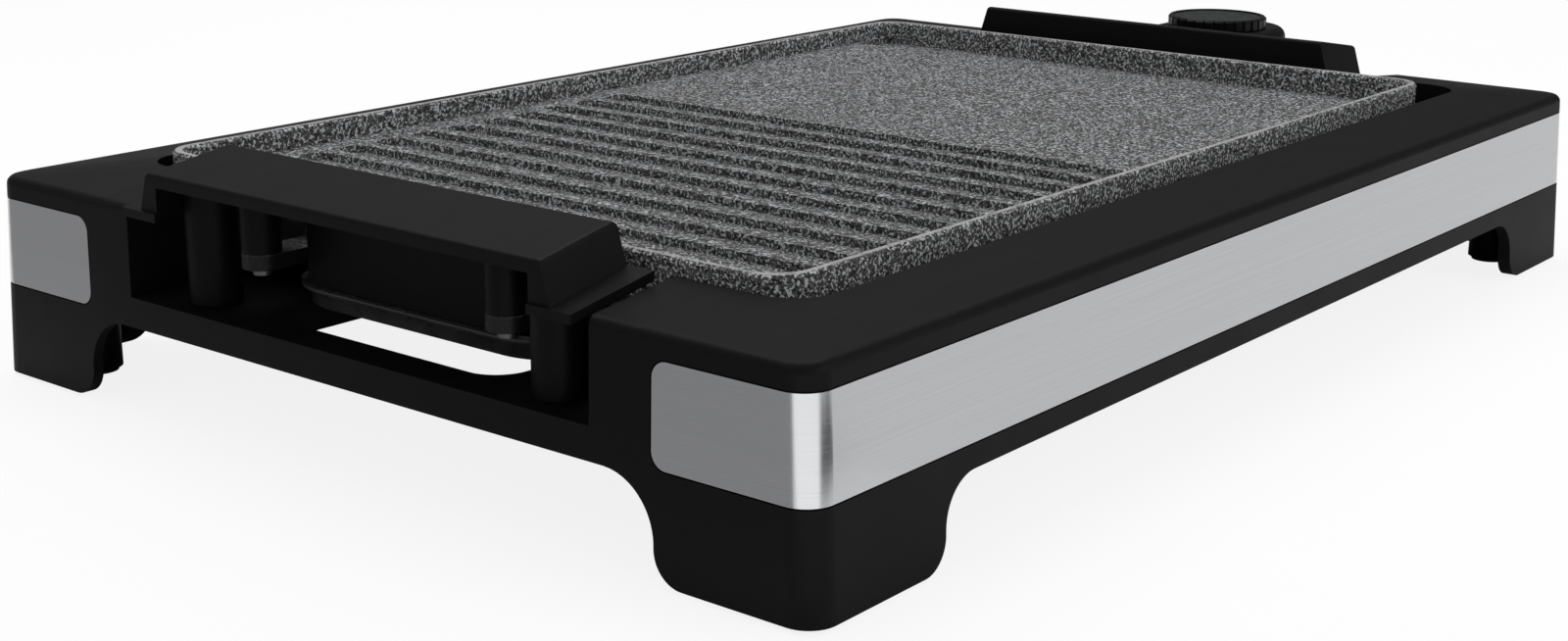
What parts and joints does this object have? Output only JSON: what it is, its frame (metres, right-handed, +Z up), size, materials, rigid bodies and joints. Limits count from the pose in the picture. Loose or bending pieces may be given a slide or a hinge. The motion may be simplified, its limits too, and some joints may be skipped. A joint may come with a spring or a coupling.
{
  "type": "electric griddle",
  "caption": "Table-top electric grill: cast griddle plate with a ribbed half, end handles, steel-banded base, slide-out drip tray and plug-in thermostat with a dial.",
  "frame": {"origin": "on the table, under the centre of the base housing", "axes": "+X along the grill from the drip-tray end to the thermostat end, +Y across it, +Z up"},
  "size_m": [0.5778, 0.361, 0.089],
  "materials": {
    "housing_plastic": "fine-textured moulded plastic",
    "band_steel": "brushed along its length",
    "pad_rubber": "soft rubber",
    "shield_steel": "plain sheet",
    "screw_steel": "zinc plated",
    "tray_metal": "black enamel with a worn bright edge",
    "stone_coating": "cast, with a speckled non-stick coating",
    "element_steel": "heat-darkened tube",
    "clamp_steel": "plain sheet",
    "pin_metal": "bright",
    "insulator_ceramic": "unglazed",
    "shroud_steel": "plain sheet",
    "handle_plastic": "fine-textured moulded plastic",
    "thermostat_plastic": "moulded plastic",
    "block_plastic": "heat-resistant moulding",
    "contact_brass": "turned",
    "probe_steel": "polished",
    "spring_brass": "thin strip",
    "gland_rubber": "moulded rubber",
    "knob_plastic": "satin moulding with a fluted edge",
    "dial_face_plastic": "glossy dark disc",
    "shaft_metal": "turned"
  },
  "bodies": {
    "base": {"base_housing": "housing_plastic", "steel_band_front": "band_steel", "steel_band_rear": "band_steel", "foot_pads": "pad_rubber", "heat_shield": "shield_steel", "shield_screws": "screw_steel"},
    "tray": {"drip_tray": "tray_metal"},
    "plate": {"griddle_plate": "stone_coating", "heating_element": "element_steel", "element_clamps": "clamp_steel", "clamp_screws": "screw_steel", "terminal_pins": "pin_metal", "terminal_insulators": "insulator_ceramic", "socket_shroud": "shroud_steel", "handle_tray_end": "handle_plastic", "handle_plug_end": "handle_plastic", "handle_screws": "screw_steel"},
    "thermostat": {"thermostat_lower_shell": "thermostat_plastic", "thermostat_upper_shell": "thermostat_plastic", "thermostat_screws": "screw_steel", "contact_block": "block_plastic", "contact_sleeves": "contact_brass", "probe_rod": "probe_steel", "switch_base": "insulator_ceramic", "contact_spring": "spring_brass", "shaft_bush": "contact_brass", "cable_gland": "gland_rubber"},
    "dial": {"dial_knob": "knob_plastic", "dial_face": "dial_face_plastic", "dial_shaft": "shaft_metal"}
  },
  "joints": [
    {"name": "tray_slide", "type": "slide", "parent": "base", "child": "tray", "axis": [-1, 0, 0], "range_m": [0, 0.19]},
    {"name": "plate_lift", "type": "slide", "parent": "base", "child": "plate", "axis": [0, 0, 1], "range_m": [0, 0.08]},
    {"name": "thermostat_pull", "type": "slide", "parent": "plate", "child": "thermostat", "axis": [1, 0, 0], "range_m": [0, 0.13]},
    {"name": "dial_turn", "type": "hinge", "parent": "thermostat", "child": "dial", "pos_m": [0.281, 0, 0], "axis": [0, 0, 1], "range_deg": [-270, 0]}
  ]
}
